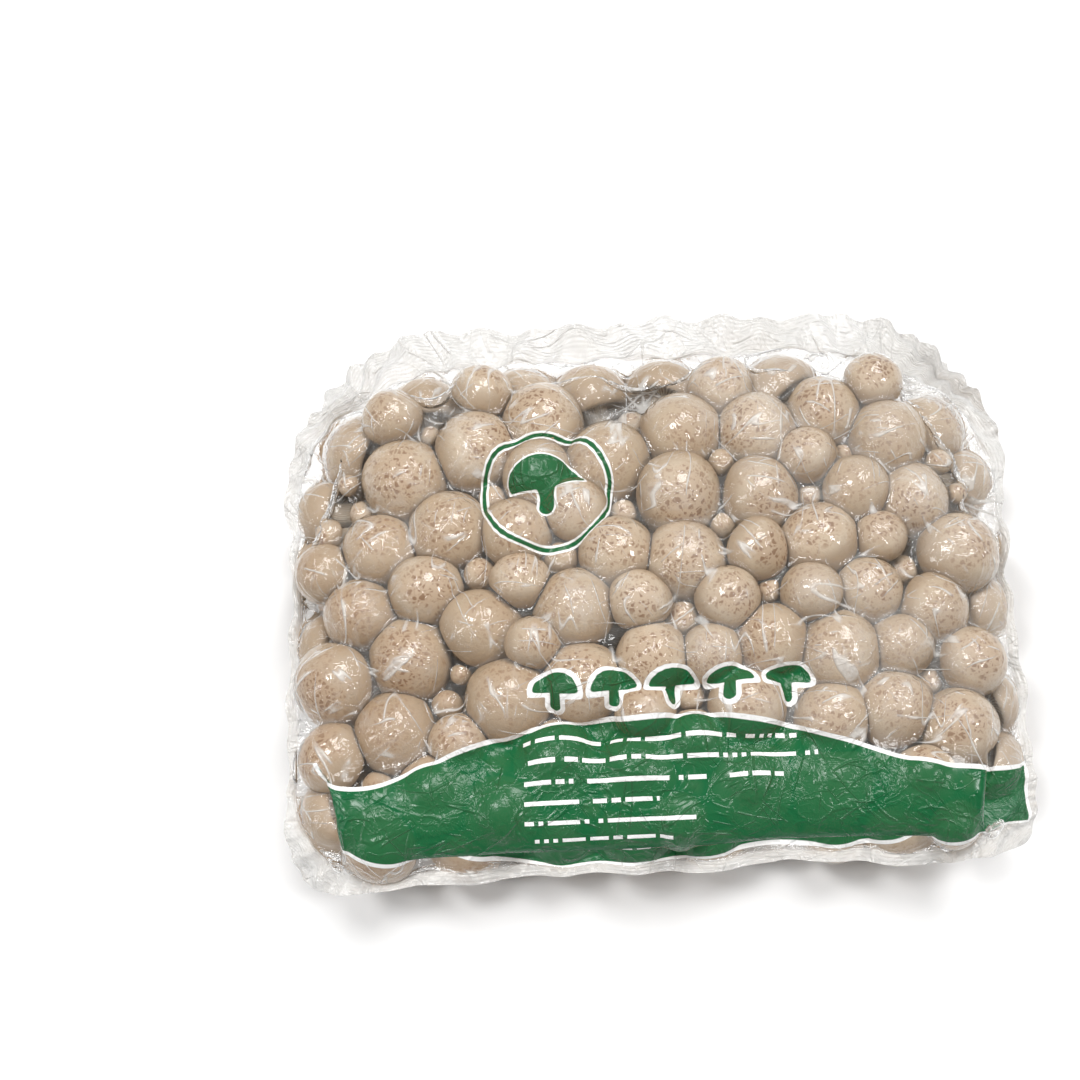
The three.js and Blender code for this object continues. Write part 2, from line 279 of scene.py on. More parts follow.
# %% Every mushroom's foot, stem and axis
LEAST_IN_FRAME = 6.0
LEAST_BUTTON = 3.6
PRESSED_AXIS, GROWN_AXIS, CHANCE_AXIS = 0.6, 0.4, 0.55
NECK_DEPTH, BEND_SHARE, BUTTON_STEM = 0.1, 0.45, 0.42


def unit(v):
    return v / np.linalg.norm(v)


def mushroom_of(at, out, radius, tilt, bunch):
    own = roots[bunch]
    foot = np.array([*(own + FOOT_SPREAD * (at[:2] - own)), FILM_OUT + FOOT_HEIGHT])
    axis = unit(PRESSED_AXIS * out + GROWN_AXIS * unit(at - foot) + CHANCE_AXIS * tilt)
    loose = float(np.linalg.norm(at[:2] - own)) > LOOSE_REACH and radius > LEAST_IN_FRAME
    if loose:
        foot = at - LOOSE_STEM * axis
    neck = at - NECK_DEPTH * radius * axis
    bend = neck - BEND_SHARE * np.linalg.norm(neck - foot) * axis
    grown = radius > LEAST_IN_FRAME
    stem = max(STEM_SHARE * radius, STEM_LEAST) if grown else BUTTON_STEM * radius
    lowest = FILM_OUT + stem + 1
    foot[2] = max(foot[2], lowest)
    bend[2] = max(bend[2], lowest)
    return dict(
        at=at, axis=axis, radius=radius, foot=foot, bend=bend, neck=neck,
        stem=stem, bunch=int(bunch), loose=bool(loose),
    )


mushrooms = [
    mushroom_of(*each)
    for each in zip(cap_at, cap_out, cap_radius, cap_tilt, nearest_root(cap_at))
    if each[2] > LEAST_BUTTON
]
loose_ones = [m for m in mushrooms if m["loose"]]
print("mushrooms:", len(mushrooms), "of which loose:", len(loose_ones))

# %% [markdown]
# A beech mushroom's cap is a small dome whose rim curls under and whose gills run from
# the rim to the stem. A dome like this is turned: one profile, spun round an axis. Its
# template is one unit in radius, and each of its points also keeps its unit place, so
# that a finish can later tell crown from rim on every cap, however it is bent.

# %% Turned templates for cap and stem
CAP_SIDES, STEM_SIDES = 36, 14
CROWN_STEPS = 10
SKIN, GILLS, FLESH = 0, 1, 2

cap_profile = []
for k in range(CROWN_STEPS + 1):
    angle = math.radians(90 * k / CROWN_STEPS)
    cap_profile.append((math.sin(angle), math.cos(angle)))
cap_profile += [(0.985, -0.13), (0.94, -0.24), (0.86, -0.31), (0.78, -0.28)]
cap_profile += [(0.68, -0.21), (0.52, -0.15), (0.36, -0.12), (0, -0.1)]
stem_profile = [(0, 0)] + [(1, k / 8) for k in range(9)] + [(0, 1)]


def turned(name, profile, sides, finish_of):
    """A profile of (radius, height) spun into a closed mesh that remembers its places."""
    bm = bmesh.new()
    verts = [bm.verts.new((r, 0, z)) for r, z in profile]
    edges = [bm.edges.new(pair) for pair in zip(verts, verts[1:])]
    bmesh.ops.spin(
        bm, geom=verts + edges, cent=(0, 0, 0), axis=(0, 0, 1), angle=math.tau,
        steps=sides, use_merge=True,
    )
    bmesh.ops.remove_doubles(bm, verts=bm.verts, dist=1e-5)
    bmesh.ops.recalc_face_normals(bm, faces=bm.faces)
    place = bm.verts.layers.float_vector.new("place")
    bm.verts.layers.float.new("tone")
    for vert in bm.verts:
        vert[place] = vert.co
    for face in bm.faces:
        face.smooth = True
        face.material_index = finish_of(face)
    mesh = bpy.data.meshes.new(name)
    bm.to_mesh(mesh)
    bm.free()
    return mesh


def cap_finish(face):
    under = face.normal.z < -0.2 and math.hypot(*face.calc_center_median()[:2]) < 0.84
    return GILLS if under else SKIN


cap_template = turned("cap_template", cap_profile, CAP_SIDES, cap_finish)
stem_template = turned("stem_template", stem_profile, STEM_SIDES, lambda face: FLESH)
print("cap:", len(cap_template.polygons), "faces; stem:", len(stem_template.polygons))

# %% [markdown]
# No two caps are alike, and caps that grow against each other press each other flat. Two
# soft balls meet in the plane where their surfaces would cross, so each cap is held back
# behind that plane, with a rounded shoulder. Stems are the stem template strung along a
# bent line.

# %% Shape one cap and one stem
CAP_GAP = 0.15
SHOULDER = 0.35
TURN = 6.28  # a full turn, near enough for an angle by chance
LOBES = ((2, 0.045), (3, 0.03), (5, 0.014))
CROWN_LOW, CROWN_HIGH, SADDLE = 0.84, 0.98, 0.05
shapes = np.random.default_rng(11)


def points_of(mesh):
    flat = np.empty(len(mesh.vertices) * 3)
    mesh.vertices.foreach_get("co", flat)
    return flat.reshape(-1, 3)


def turn_to(axis, spin=0.0):
    lean = Vector((0, 0, 1)).rotation_difference(Vector(axis)).to_matrix()
    return np.array(lean @ Matrix.Rotation(spin, 3, "Z"))


def held_back(p, centre, way, limit, softness=SHOULDER):
    """Points that pass a plane are brought back behind it, with a soft shoulder."""
    d = (p - centre) @ way - limit
    kept = -softness * np.logaddexp(0, -d / softness)
    return p + np.outer(kept - d, way)


def lobed(unit_points, rng):
    """A unit cap with a wavy rim and a crown that is a little flat or a little high."""
    p = unit_points.copy()
    phi = np.arctan2(p[:, 1], p[:, 0])
    out = np.hypot(p[:, 0], p[:, 1]) ** 2
    wave = np.zeros(len(p))
    for lobes, size in LOBES:
        wave += size * rng.uniform(0.2, 1) * np.cos(lobes * phi + rng.uniform(0, TURN))
    p[:, :2] *= (1 + out * wave)[:, None]
    p[:, 2] *= rng.uniform(CROWN_LOW, CROWN_HIGH)
    p[:, 2] += SADDLE * out * np.cos(2 * phi + rng.uniform(0, TURN))
    return p


def cap_points(m, others, rng):
    p = lobed(points_of(cap_template), rng) @ turn_to(m["axis"], rng.uniform(0, TURN)).T
    p = m["at"] + m["radius"] * p
    for other in others:
        gap = other["at"] - m["at"]
        length = np.linalg.norm(gap)
        if other is m or length > m["radius"] + other["radius"] + 1.5:
            continue
        ball = (length**2 + m["radius"] ** 2 - other["radius"] ** 2) / (2 * length)
        p = held_back(p, m["at"], gap / length, ball - CAP_GAP)
    return p


def stem_points(m, rng):
    unit_points = points_of(stem_template)
    t = unit_points[:, 2:3]
    centre = (1 - t) ** 2 * m["foot"] + 2 * t * (1 - t) * m["bend"] + t**2 * m["neck"]
    way = 2 * (1 - t) * (m["bend"] - m["foot"]) + 2 * t * (m["neck"] - m["bend"])
    swell = 1.15 - 0.3 * t + 0.18 * t**3 + 0.04 * np.sin(5 * t + rng.uniform(0, TURN))
    across = unit_points * (1, 1, 0) * m["stem"] * swell
    turned_way = np.array([turn_to(unit(w)) @ a for w, a in zip(way, across)])
    return centre + turned_way


def add_shaped(bm, template, points, tone):
    mesh = template.copy()
    mesh.vertices.foreach_set("co", ((points + SHIFT) * MM).ravel())
    mesh.attributes["tone"].data.foreach_set("value", np.full(len(points), tone))
    bm.from_mesh(mesh)
    bpy.data.meshes.remove(mesh)


print("a cap may bulge by up to", round(100 * sum(size for _, size in LOBES)), "% at its rim")

# %% [markdown]
# A bunch is cut from the block it grew on, so its root is a low lump, cut flat below and
# uneven where the stems join. It starts as the same kind of turned shape and is then
# pushed about by noise.

# %% Roots, bunches and loose mushrooms
ROOT_LOW = FILM_OUT + 0.5
ROUGH_GRAIN, ROUGH_OUT, ROUGH_UP, ROOT_DRAWN_IN = 5, 0.16, 1.2, 0.98
root_profile = [(0, 0), (0.5, 0), (0.82, 0), (0.95, 0.12), (1, 0.35), (0.93, 0.6)]
root_profile += [(0.76, 0.86), (0.45, 1.0), (0, 1.04)]
root_template = turned("root_template", root_profile, 40, lambda face: FLESH)


def root_points(k):
    p = points_of(root_template) * (ROOT_RADIUS, ROOT_RADIUS, ROOT_HEIGHT)
    rough = [noise.noise(Vector(q) / ROUGH_GRAIN + Vector((9 * k, 0, 0))) for q in p]
    rim = np.clip(p[:, 2] / 4, 0, 1) * np.array(rough)
    p[:, :2] *= (1 + ROUGH_OUT * rim)[:, None] * ROOT_DRAWN_IN
    p[:, 2] += ROUGH_UP * rim
    return p + (*roots[k], ROOT_LOW)


def mushroom_object(name, members, root=None):
    bm = bmesh.new()
    for m in members:
        tone = shapes.uniform(0, 1)
        add_shaped(bm, cap_template, cap_points(m, mushrooms, shapes), tone)
        add_shaped(bm, stem_template, stem_points(m, shapes), tone)
    if root is not None:
        add_shaped(bm, root_template, root_points(root), 0.5)
    mesh = bpy.data.meshes.new(name)
    bm.to_mesh(mesh)
    bm.free()
    piece = bpy.data.objects.new(name, mesh)
    bpy.context.scene.collection.objects.link(piece)
    return piece


pieces = []
for k in range(len(roots)):
    members = [m for m in mushrooms if m["bunch"] == k and not m["loose"]]
    piece = mushroom_object(f"mushroom_bunch_{k + 1}", members, k)
    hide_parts(f"bunch_{k + 1}")
    pieces.append(piece)
for k, m in enumerate(loose_ones):
    piece = mushroom_object(f"loose_beech_mushroom_{k + 1}", [m])
    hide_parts(f"loose_mushroom_{k + 1}")
    pieces.append(piece)
for piece in pieces:
    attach(piece, "root")
print("faces in the mushrooms:", sum(len(piece.data.polygons) for piece in pieces))

# %% [markdown]
# The pouch is two webs of film, sealed together round their edges, with the air drawn
# out. Film like that hardly stretches, but it folds at once, so between the caps it
# gathers into dents and creases. A real cloth solver would need every cap as a collider;
# here the same idea is written out in a few lines. Each web is a grid whose neighbours
# may not move apart, the vacuum pulls every point inwards, and a field of distances to
# the mushrooms says where to stop. First comes that field.

# %% How far each point of space is from a mushroom
VOXEL = 1.0
FIELD_LOW = np.array([-137.0, -112.0, -3.0])
FIELD_HIGH = np.array([137.0, 114.0, 67.0])
FAR_AWAY = 6.0
field_shape = tuple(int(n) for n in (FIELD_HIGH - FIELD_LOW) / VOXEL + 1)
field = np.full(field_shape, FAR_AWAY, dtype=np.float32)


def stamp(low, high, distance):
    """Lowers the field inside a box to the distance from one shape."""
    a = np.maximum(np.floor((low - FIELD_LOW) / VOXEL).astype(int), 0)
    b = np.minimum(np.ceil((high - FIELD_LOW) / VOXEL).astype(int) + 1, field_shape)
    axes = [FIELD_LOW[k] + VOXEL * np.arange(a[k], b[k]) for k in range(3)]
    p = np.stack(np.meshgrid(*axes, indexing="ij"), -1)
    part = field[a[0]:b[0], a[1]:b[1], a[2]:b[2]]
    np.minimum(part, distance(p), out=part)


def stamp_rod(start, end, radius):
    way = end - start
    span = max(way @ way, 1e-6)

    def distance(p):
        t = np.clip((p - start) @ way / span, 0, 1)
        return np.linalg.norm(p - start - t[..., None] * way, axis=-1) - radius

    stamp(np.minimum(start, end) - radius - 5, np.maximum(start, end) + radius + 5, distance)


def stamp_mushroom(m):
    def cap(p):
        q = p - m["at"]
        ball = np.linalg.norm(q, axis=-1) - 0.97 * m["radius"]
        return np.maximum(ball, -(q @ m["axis"]) - 0.32 * m["radius"])

    reach = m["radius"] + 5
    stamp(m["at"] - reach, m["at"] + reach, cap)
    middle = 0.25 * m["foot"] + 0.5 * m["bend"] + 0.25 * m["neck"]
    stamp_rod(m["foot"], middle, m["stem"])
    stamp_rod(middle, m["neck"], m["stem"])


for m in mushrooms:
    stamp_mushroom(m)
for x, y in roots:
    low = np.array([x, y, ROOT_LOW + ROOT_RADIUS / 2])
    stamp_rod(low, low + (0, 0, 0.1), ROOT_RADIUS * 0.8)
slope = np.stack(np.gradient(field, VOXEL), -1)
surroundings = np.concatenate([field[..., None], slope.astype(np.float32)], -1)
print("field:", field.shape, "inside a mushroom:", round(float((field < 0).mean()), 3))


def felt(p):
    """Distance to the mushrooms and its slope at each point, read between the voxels."""
    q = (p - FIELD_LOW) / VOXEL
    q = np.clip(q, 0, np.array(field_shape) - 1.001)
    i = q.astype(int)
    f = q - i
    total = 0
    for corner in np.ndindex(2, 2, 2):
        c = np.array(corner)
        weight = np.prod(np.where(c, f, 1 - f), axis=-1)[..., None]
        at = i + c
        total = total + weight * surroundings[at[..., 0], at[..., 1], at[..., 2]]
    return total[..., 0], total[..., 1:]


# %% [markdown]
# Before the air is drawn out, each web lies over the pack's plain form: flat over the
# plate, round the flank, and out flat again as the seal margin. The grid is measured in
# the flat film, so a point's place in it also says where the print goes.

# %% Two webs of film round the pack's form
FILM_SKIN = FLANK + 0.9
QUARTER = FILM_SKIN * math.pi / 2
FLAT_X = CORE_X + QUARTER + SEAL_SIDE
FLAT_NEAR = CORE_Y + QUARTER + SEAL_NEAR
FLAT_FAR = CORE_Y + QUARTER + SEAL_FAR
COARSE = (129, 107)


def flat_grid(counts):
    u = np.linspace(-FLAT_X, FLAT_X, counts[0])
    v = np.linspace(-FLAT_NEAR, FLAT_FAR, counts[1])
    return np.meshgrid(u, v, indexing="ij")


def wrapped(u, v, up):
    """Where a point of the flat film lies on the plain form, and how far past the plate."""
    e, nx, ny = from_outline(u, v)
    over = np.maximum(e, 0)
    x, y = u - nx * over, v - ny * over
    edge_x = (FLAT_X - np.abs(x)) / np.maximum(np.abs(nx), 1e-6)
    edge_y = np.where(y < 0, FLAT_NEAR - np.abs(y), FLAT_FAR - np.abs(y))
    edge = np.minimum(edge_x, edge_y / np.maximum(np.abs(ny), 1e-6))
    end = np.where(ny > 0, SEAL_FAR, SEAL_NEAR)
    corner = np.where(ny < 0, (2 * nx * ny) ** 2 * SEAL_EAR, 0)
    margin = SEAL_SIDE + (end - SEAL_SIDE) * ny * ny + corner
    squeeze = margin / np.maximum(edge - QUARTER, 1)
    turn = np.minimum(over, QUARTER) / FILM_SKIN
    across = FILM_SKIN * np.sin(turn) + np.maximum(over - QUARTER, 0) * squeeze
    rise = dome_height(x, y) if up else 0
    height = (rise + FILM_SKIN * np.cos(turn)) * (1 if up else -1)
    return np.stack([x + nx * across, y + ny * across, PLATE_Z + height], -1), e


print("flat film, mm:", round(2 * FLAT_X), "by", round(FLAT_NEAR + FLAT_FAR))

# %% [markdown]
# A step of the solver lets the vacuum move every point a little, then puts back each
# length that has grown, then lifts out whatever has sunk into a mushroom. Lengths are
# put back a few at a time, every second one along a row, so that no point is moved twice
# at once. A length that has shrunk is hardly pushed back, and that is what lets the film
# crease.

# %% Put the lengths back
STRETCH, SQUASH = 0.95, 0.06


def pull(a, b, rest):
    """Two rows of points: each pair is brought back to its length."""
    d = b - a
    length = np.sqrt((d * d).sum(-1)) + 1e-9
    share = (length - rest) / length
    d *= (share * np.where(length > rest, STRETCH / 2, SQUASH / 2))[..., None]
    a += d
    b -= d


def pairs_of(x):
    """Every pair of neighbours, in groups that share no point."""
    for start in (0, 1):
        for a, b in (
            (x[start:-1:2], x[start + 1 :: 2]),
            (x[:, start:-1:2], x[:, start + 1 :: 2]),
            (x[start:-1:2, :-1], x[start + 1 :: 2, 1:]),
            (x[start:-1:2, 1:], x[start + 1 :: 2, :-1]),
        ):
            n, k = min(a.shape[0], b.shape[0]), min(a.shape[1], b.shape[1])
            yield a[:n, :k], b[:n, :k]


print("groups of neighbours in a small grid:", len(list(pairs_of(np.zeros((5, 5, 3))))))

# %% [markdown]
# How long a length may be decides how the film lies. A little slack lets it dent between
# the caps. Ink makes film stiffer, so the broad printed band has no slack, and the vacuum
# hardly dents it.

# %% The lengths, and where ink holds them
SLACK = 1.026
FLAT_SHARE, FLAT_MOST = 0.3, 1.6
BAND_NEAR, BAND_FAR, BAND_HALF = -114, -52, 132
INK_HOLDS, INK_FADE = 0.92, 10


def inked(flat):
    """1 where the broad printed band lies: its ink makes the film a little stiffer."""
    u, v = flat[..., 0], flat[..., 1]
    inside = np.minimum(np.minimum(v - BAND_NEAR, BAND_FAR - v), BAND_HALF - np.abs(u))
    return np.clip(inside / INK_FADE, 0, 1)


def lengths_of(x, flat, stiff):
    """Each pair's length: mostly as wrapped, and partly as in the flat film."""
    found = []
    slack = 1 + (SLACK - 1) * (1 - stiff)
    for (a, b), (c, d), (s, _) in zip(pairs_of(x), pairs_of(flat), pairs_of(slack)):
        wrapped_length = np.linalg.norm(b - a, axis=-1)
        flat_length = np.minimum(np.linalg.norm(d - c, axis=-1), wrapped_length * FLAT_MOST)
        length = wrapped_length * (1 - FLAT_SHARE) + flat_length * FLAT_SHARE
        found.append(np.maximum(length, wrapped_length) * s)
    return found


print("the printed band is", BAND_FAR - BAND_NEAR, "by", 2 * BAND_HALF, "mm")

# %% [markdown]
# The vacuum pulls square to the film, the film's own stiffness smooths its finest folds,
# and the field lifts it off the mushrooms. The two webs touch only in the seal: inside it,
# the front web stays above the seal's level and the back web below.

# %% Pull, smooth and keep apart
STIFFNESS, VACUUM_FADE = 0.02, 0.6
FILM_GAP, FLOOR, SEAL_HALF = 0.18, 0.15, 0.05
SUNK_MARGIN, SUNK_MOST, LEAST_SLOPE = 0.1, 1.5, 0.3
SEAL_INSIDE = 3


def inwards(x, up):
    along = np.gradient(x, axis=0)
    across = np.gradient(x, axis=1)
    n = np.cross(along, across)
    n /= np.linalg.norm(n, axis=-1, keepdims=True) + 1e-9
    return -n if up else n


def relax(x):
    """The film's own stiffness, which smooths out the finest folds."""
    middle = x[1:-1, 1:-1]
    around = x[:-2, 1:-1] + x[2:, 1:-1] + x[1:-1, :-2] + x[1:-1, 2:]
    middle += STIFFNESS * (around / 4 - middle)


def keep_out(x):
    distance, way = felt(x)
    sunk = np.maximum(FILM_GAP + SUNK_MARGIN - distance, 0)
    steep = np.maximum(np.linalg.norm(way, axis=-1), LEAST_SLOPE)
    x += way * np.minimum(sunk / steep**2, SUNK_MOST)[..., None]
    np.maximum(x[..., 2], FLOOR, out=x[..., 2])


def weld(front, back, margin):
    """The seal margin's two webs lie together, and no web passes the other."""
    middle = (front + back) / 2
    half = np.array([0, 0, FILM_GAP / 2 + SEAL_HALF])
    front[margin] = middle[margin] + half
    back[margin] = middle[margin] - half
    crossed = front[..., 2] - back[..., 2] < 2 * half[2]
    front[crossed, 2] = middle[crossed, 2] + half[2]
    back[crossed, 2] = middle[crossed, 2] - half[2]


def keep_apart(x, up, inner):
    """Inside the seal, the front web stays above the seal's level and the back web below."""
    level = PLATE_Z + (FILM_GAP if up else -FILM_GAP)
    kept = np.maximum(x[..., 2], level) if up else np.minimum(x[..., 2], level)
    x[..., 2] = np.where(inner, kept, x[..., 2])


def draw_tight(front, back, flat, e, steps, pressure):
    margin = e > QUARTER
    inner = e < QUARTER - SEAL_INSIDE
    webs = [(front, True), (back, False)]
    start = [wrapped(flat[..., 0], flat[..., 1], up)[0] for _, up in webs]
    stiffs = [inked(flat), np.zeros(flat.shape[:2])]
    lengths = [lengths_of(s, flat[..., :2], stiff) for s, stiff in zip(start, stiffs)]
    for step in range(steps):
        vacuum = pressure * (1 - VACUUM_FADE * step / steps) * ~margin
        for (x, up), rests, stiff in zip(webs, lengths, stiffs):
            x += inwards(x, up) * (vacuum * (1 - INK_HOLDS * stiff))[..., None]
            for (a, b), rest in zip(pairs_of(x), rests):
                pull(a, b, rest)
            relax(x)
            keep_out(x)
            keep_apart(x, up, inner)
        weld(front, back, margin)


print("the webs lie", 2 * (FILM_GAP / 2 + SEAL_HALF), "mm apart in the seal")

# %% [markdown]
# A coarse grid settles quickly, so it finds the broad dents. Each of its squares is then
# cut in four, and the fine grid finds the creases. A little noise at the start of both
# gives every crease a place to begin.

# %% Draw the air out, on a coarse grid and then on a fine one
COARSE_STEPS, COARSE_VACUUM, COARSE_SHAKE = 160, 0.32, 0.25
FINE_STEPS, QUICK_STEPS, FINE_VACUUM, FINE_SHAKE = 110, 40, 0.2, 0.06


def finer(x):
    """Twice the grid: new points half way between the old ones."""
    n, k = x.shape[:2]
    y = np.empty((2 * n - 1, 2 * k - 1, 3))
    y[::2, ::2] = x
    y[1::2, ::2] = (x[:-1] + x[1:]) / 2
    y[:, 1::2] = (y[:, :-2:2] + y[:, 2::2]) / 2
    return y


def solve_film(fine_steps):
    rng = np.random.default_rng(5)
    u, v = flat_grid(COARSE)
    flat = np.stack([u, v], -1)
    front, e = wrapped(u, v, True)
    back, _ = wrapped(u, v, False)
    wave = 1.6 * np.sin(u / 17 + 0.6) * np.cos(v / 23) + 0.9 * np.sin((u - v) / 9)
    for x in (front, back):
        x += rng.normal(0, COARSE_SHAKE, x.shape)
        x[..., 2] += np.where(e > QUARTER - 6, wave, 0)
    draw_tight(front, back, flat, e, COARSE_STEPS, COARSE_VACUUM)
    front, back = finer(front), finer(back)
    u, v = flat_grid(front.shape[:2])
    flat = np.stack([u, v], -1)
    _, e = wrapped(u, v, True)
    for x in (front, back):
        x += rng.normal(0, FINE_SHAKE, x.shape)
    draw_tight(front, back, flat, e, fine_steps, FINE_VACUUM)
    return front, back, flat, e


clock = time.perf_counter()
fine_steps = FINE_STEPS
front_web, back_web, flat_film, past_plate = solve_film(fine_steps)
print("film grid", front_web.shape[:2], "in", round(time.perf_counter() - clock, 1), "s")

# %% [markdown]
# A seal margin isn't flat. Where the film gathers round the pack, its free edge waves and
# is drawn in. Nothing presses on it, so two patterns of waves are laid on after solving:
# a slow one for the margin's swing and a quick one for its ruffles.

# %% Ruffle the seal margin
RUFFLE, GATHER, GATHER_FAR = 2.6, 3.2, 6.0


def ruffle(x, flat, past):
    """Free of the caps, the seal margin waves up and down and is drawn in unevenly."""
    u, v = flat[..., 0], flat[..., 1]
    free = np.clip(past / 6 + 0.5, 0, 1)
    quick = np.sin(u / 3.7 + 1.9 * np.sin(v / 11)) * np.cos(v / 4.3 + 1.6 * np.sin(u / 13))
    slow = np.sin(u / 12.5 + 0.8) * np.cos(v / 15.0 - 0.4)
    x[..., 2] += RUFFLE * free * (0.5 * quick + slow + 0.25)
    far = np.clip((v - CORE_Y) / QUARTER, 0, 1)
    drawn = (GATHER + (GATHER_FAR - GATHER) * far) * free * (0.6 + 0.3 * slow - 0.25 * quick)
    x[..., :2] *= (1 - drawn / np.linalg.norm(x[..., :2], axis=-1))[..., None]
    np.maximum(x[..., 2], FLOOR, out=x[..., 2])


for web in (front_web, back_web):
    ruffle(web, flat_film, past_plate - QUARTER)
print("seal margin height:", np.round(front_web[past_plate > QUARTER + 1, 2].min(), 1),
      "to", np.round(front_web[past_plate > QUARTER + 1, 2].max(), 1), "mm")

# %% [markdown]
# The drawn film becomes two sheets. Each starts as a flat grid from the mesh tools, so
# that its faces are already in order, and every point is then sent to its solved place.
# The last push away from the real mushroom surface uses a search tree, which knows the
# caps' true shapes. The flat film's own measure is kept as a UV map for the print.

# %% Make the two sheets
FOLD_FROM, FOLD_SPAN = 0.12, 0.45
BRIDGE_FROM, BRIDGE_SPAN = 0.6, 2.4


def surface_tree():
    verts, faces = [], []
    for piece in pieces:
        start = len(verts)
        verts += [v.co / MM for v in piece.data.vertices]
        faces += [[start + i for i in p.vertices] for p in piece.data.polygons]
    return BVHTree.FromPolygons(verts, faces)


def lift_off(x, tree):
    """Every point that is closer than the film's gap is lifted off the mushrooms."""
    moved = 0
    for place in x.reshape(-1, 3):
        p = Vector(place + SHIFT)
        spot, normal, _, distance = tree.find_nearest(p, 4)
        if spot is None:
            continue
        side = (p - spot).dot(normal)
        if side < 0 or distance < FILM_GAP * 0.95:
            place += np.array(spot + normal * FILM_GAP - p)
            moved += 1
    return moved


def folds_of(x):
    """How sharply the film is bent at each point: 0 for smooth, 1 for a hard fold."""
    bend = np.zeros(x.shape[:2])
    around = x[:-2, 1:-1] + x[2:, 1:-1] + x[1:-1, :-2] + x[1:-1, 2:]
    bend[1:-1, 1:-1] = np.linalg.norm(around / 4 - x[1:-1, 1:-1], axis=-1)
    return np.clip((bend - FOLD_FROM) / FOLD_SPAN, 0, 1)


def film_sheet(name, x, past):
    n, k = x.shape[:2]
    folds = folds_of(x)
    spans = np.clip((felt(x)[0] - BRIDGE_FROM) / BRIDGE_SPAN, 0, 1)
    bm = bmesh.new()
    film_map = bm.loops.layers.uv.new("film")
    fold_layer = bm.verts.layers.float.new("fold")
    past_layer = bm.verts.layers.float.new("past")
    span_layer = bm.verts.layers.float.new("span")
    bmesh.ops.create_grid(bm, x_segments=n - 1, y_segments=k - 1, size=0.5)
    for vert in bm.verts:
        i, j = round((vert.co.x + 0.5) * (n - 1)), round((vert.co.y + 0.5) * (k - 1))
        for loop in vert.link_loops:
            loop[film_map].uv = (i / (n - 1), j / (k - 1))
        vert[fold_layer] = folds[i, j]
        vert[past_layer] = past[i, j]
        vert[span_layer] = spans[i, j]
        vert.co = Vector(x[i, j] + SHIFT) * MM
    for face in bm.faces:
        face.smooth = True
    mesh = bpy.data.meshes.new(name)
    bm.to_mesh(mesh)
    bm.free()
    sheet = bpy.data.objects.new(name, mesh)
    bpy.context.scene.collection.objects.link(sheet)
    return sheet


mushroom_tree = surface_tree()
for web in (front_web, back_web):
    print("points lifted off:", [lift_off(web, mushroom_tree) for _ in range(2)])
film_front = film_sheet("pouch_front", front_web, past_plate - QUARTER)
film_back = film_sheet("pouch_back", back_web, past_plate - QUARTER)
film_back.data.flip_normals()
for sheet, cad_node in ((film_front, "front_film"), (film_back, "back_film")):
    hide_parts(cad_node)
    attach(sheet, "root")
flat_size = (2 * FLAT_X * MM, (FLAT_NEAR + FLAT_FAR) * MM)
print("film sheets:", [len(s.data.polygons) for s in (film_front, film_back)])

# %% [markdown]
# Every finish below is a small network of nodes, and most of its nodes do arithmetic. A
# node's output is wrapped in a small class here, so that a plus sign between two of them
# makes the math node and its links. Few other helpers are needed: one makes a node and
# fills its sockets, and the others read an attribute, noise or a mapping, and make a soft
# step or a mix of colours.

# %% Node helpers
class Signal:
    """An output of a node, which adds and scales like a number by making math nodes."""

    def __init__(self, tree, socket):
        self.tree = tree
        self.socket = socket

    def __add__(self, other):
        return calc("ADD", self, other)

    def __sub__(self, other):
        return calc("SUBTRACT", self, other)

    def __rsub__(self, other):
        return calc("SUBTRACT", other, self)

    def __mul__(self, other):
        return calc("MULTIPLY", self, other)

    def __truediv__(self, other):
        return calc("DIVIDE", self, other)

    def __abs__(self):
        return calc("ABSOLUTE", self)

    def __neg__(self):
        return self * -1.0


def fill(socket, value):
    """Links a signal into a socket, or sets a plain value there."""
    if isinstance(value, Signal):
        value.tree.links.new(value.socket, socket)
    else:
        socket.default_value = value


def node(tree, kind, sockets=(), **settings):
    made = tree.nodes.new(kind)
    for key, value in settings.items():
        setattr(made, key, value)
    for key, value in dict(sockets).items():
        fill(made.inputs[key], value)
    return made


def output_of(tree, kind, output, sockets=(), **settings):
    return Signal(tree, node(tree, kind, sockets, **settings).outputs[output])


def calc(operation, *values, clamp=False):
    tree = next(value.tree for value in values if isinstance(value, Signal))
    made = node(tree, "ShaderNodeMath", operation=operation, use_clamp=clamp)
    for socket, value in zip(made.inputs, values):
        fill(socket, value)
    return Signal(tree, made.outputs[0])


def vector_calc(operation, first, second=None, output="Vector"):
    sockets = {0: first} if second is None else {0: first, 1: second}
    return output_of(first.tree, "ShaderNodeVectorMath", output, sockets, operation=operation)


def length_of(x, y):
    return calc("SQRT", x * x + y * y)


def ramp(value, low, high, start=0.0, end=1.0):
    """A soft step from start to end while value goes from low to high."""
    return output_of(
        value.tree, "ShaderNodeMapRange", "Result",
        {"Value": value, "From Min": low, "From Max": high, "To Min": start, "To Max": end},
        interpolation_type="SMOOTHSTEP",
    )


def blend(share, a, b):
    """Colour a, or colour b where share is 1."""
    return output_of(share.tree, "ShaderNodeMix", 2, {0: share, 6: a, 7: b}, data_type="RGBA")


def noise_at(place, scale, detail=2.0, distortion=0.0, output="Fac"):
    sockets = {"Vector": place, "Scale": scale, "Detail": detail, "Distortion": distortion}
    return output_of(place.tree, "ShaderNodeTexNoise", output, sockets)


def attribute(tree, name, output="Fac"):
    return output_of(tree, "ShaderNodeAttribute", output, attribute_name=name)


